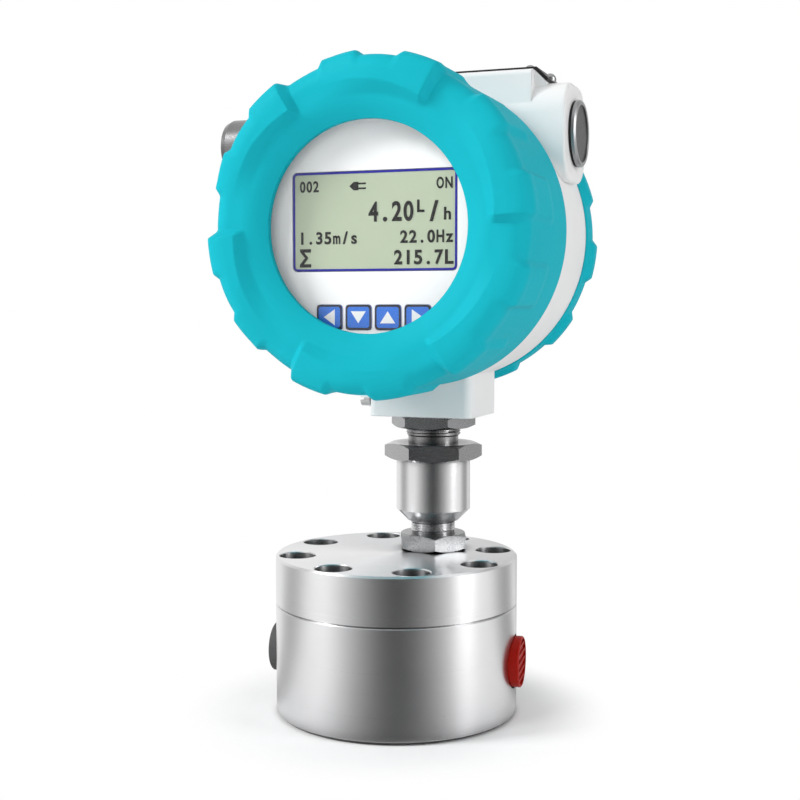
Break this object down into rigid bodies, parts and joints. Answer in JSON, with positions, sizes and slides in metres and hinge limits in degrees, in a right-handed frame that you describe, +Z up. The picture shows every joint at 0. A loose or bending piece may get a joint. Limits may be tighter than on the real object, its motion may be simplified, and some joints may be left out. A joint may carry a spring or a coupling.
{
  "type": "liquid flow meter",
  "caption": "Gear flow meter: round stainless block with side ports, pickup stem and swivelling round transmitter head with screw covers, window, display and push keys.",
  "frame": {"origin": "centre of the round block's flat underside", "axes": "+Z up along the block's axis, ports along X with the outlet at +X, display facing about -Y"},
  "size_m": [0.1444, 0.12, 0.2368],
  "materials": {
    "stainless": "satin",
    "bright_steel": "satin",
    "dark_steel": "satin",
    "bronze": "satin",
    "red_plastic": "satin",
    "grey_plastic": "satin",
    "copper_winding": "satin",
    "board": "satin",
    "black_rubber": "matte",
    "cable": "matte",
    "black_plastic": "matte",
    "cover_paint": "satin",
    "housing_paint": "satin",
    "plate": "satin",
    "retainer": "satin",
    "window": "polished",
    "panel_white": "satin",
    "lcd": "gloss",
    "key_blue": "satin",
    "terminal_green": "matte"
  },
  "bodies": {
    "meter": {"meter_body": "stainless", "meter_lid": "stainless", "lid_screws": "dark_steel", "chamber_seal": "black_rubber", "front_gear_shaft": "bright_steel", "rear_gear_shaft": "bright_steel", "pickup_tube": "stainless", "pickup_coil": "copper_winding", "pickup_magnet": "dark_steel", "pickup_wires": "cable", "pickup_board": "board", "pickup_locknut": "bright_steel", "stem_union": "stainless", "stem_seal": "black_rubber", "head_locknut": "bright_steel", "signal_cable": "cable", "signal_connector": "black_plastic"},
    "front_gear": {"front_gear": "bright_steel", "front_gear_bush": "bronze"},
    "rear_gear": {"rear_gear": "bright_steel", "rear_gear_bush": "bronze"},
    "inlet_plug": {"inlet_plug": "grey_plastic"},
    "outlet_plug": {"outlet_plug": "red_plastic"},
    "head": {"housing_body": "housing_paint", "nameplate": "plate", "nameplate_screws": "bright_steel", "ground_screw": "bright_steel", "ground_washer": "bright_steel", "blanking_plug": "bright_steel", "blanking_plug_seal": "black_rubber", "gland_body": "bright_steel", "gland_nut": "bright_steel", "gland_insert": "black_rubber", "gland_seal": "black_rubber", "display_carrier": "black_plastic", "carrier_standoffs": "bronze", "carrier_screws": "bright_steel", "main_board": "board", "board_screws": "bright_steel", "face_panel": "panel_white", "lcd_glass": "lcd", "lcd_frame": "black_plastic", "key_switches": "black_plastic", "terminal_standoffs": "bronze", "terminal_board": "board", "terminal_board_screws": "bright_steel", "terminal_blocks": "terminal_green", "terminal_screws": "bronze"},
    "front_seal": {"front_cover_seal": "black_rubber"},
    "front_cover": {"front_cover": "cover_paint", "window_glass": "window", "window_gasket": "black_rubber", "window_retainer": "retainer"},
    "rear_seal": {"rear_cover_seal": "black_rubber"},
    "rear_cover": {"rear_cover": "cover_paint"},
    "key_left": {"key_left": "key_blue"},
    "key_down": {"key_down": "key_blue"},
    "key_up": {"key_up": "key_blue"},
    "key_right": {"key_right": "key_blue"}
  },
  "joints": [
    {"name": "front_gear_spin", "type": "hinge", "parent": "meter", "child": "front_gear", "pos_m": [0, -0.01125, 0.0354], "axis": [0, 0, 1], "continuous": true},
    {"name": "rear_gear_spin", "type": "hinge", "parent": "meter", "child": "rear_gear", "pos_m": [0, 0.01125, 0.0354], "axis": [0, 0, 1], "continuous": true},
    {"name": "inlet_plug_pull", "type": "slide", "parent": "meter", "child": "inlet_plug", "axis": [-1, 0, 0], "range_m": [0, 0.06]},
    {"name": "outlet_plug_pull", "type": "slide", "parent": "meter", "child": "outlet_plug", "axis": [1, 0, 0], "range_m": [0, 0.06]},
    {"name": "head_swivel", "type": "hinge", "parent": "meter", "child": "head", "pos_m": [0.01108, 0.0132, 0.11], "axis": [0, 0, 1], "range_deg": [-170, 170]},
    {"name": "front_cover_advance", "type": "slide", "parent": "head", "child": "front_seal", "axis": [-0.1045, -0.9945, 0], "range_m": [0, 0.01]},
    {"name": "front_cover_turn", "type": "hinge", "parent": "front_seal", "child": "front_cover", "pos_m": [0.01108, 0.0132, 0.1763], "axis": [-0.1045, -0.9945, 0], "range_deg": [0, 1800]},
    {"name": "rear_cover_advance", "type": "slide", "parent": "head", "child": "rear_seal", "axis": [0.1045, 0.9945, 0], "range_m": [0, 0.01]},
    {"name": "rear_cover_turn", "type": "hinge", "parent": "rear_seal", "child": "rear_cover", "pos_m": [0.01108, 0.0132, 0.1763], "axis": [0.1045, 0.9945, 0], "range_deg": [0, 1800]},
    {"name": "key_left_press", "type": "slide", "parent": "head", "child": "key_left", "axis": [0.1045, 0.9945, 0], "range_m": [0, 0.0006], "stiffness_N_per_m": 300, "springref_m": -0.001},
    {"name": "key_down_press", "type": "slide", "parent": "head", "child": "key_down", "axis": [0.1045, 0.9945, 0], "range_m": [0, 0.0006], "stiffness_N_per_m": 300, "springref_m": -0.001},
    {"name": "key_up_press", "type": "slide", "parent": "head", "child": "key_up", "axis": [0.1045, 0.9945, 0], "range_m": [0, 0.0006], "stiffness_N_per_m": 300, "springref_m": -0.001},
    {"name": "key_right_press", "type": "slide", "parent": "head", "child": "key_right", "axis": [0.1045, 0.9945, 0], "range_m": [0, 0.0006], "stiffness_N_per_m": 300, "springref_m": -0.001}
  ],
  "couplings": [
    {"joint": "rear_gear_spin", "follows": "front_gear_spin", "ratio": -1},
    {"joint": "front_cover_advance", "follows": "front_cover_turn", "m_per_rad": 0.00031831},
    {"joint": "rear_cover_advance", "follows": "rear_cover_turn", "m_per_rad": 0.00031831}
  ]
}
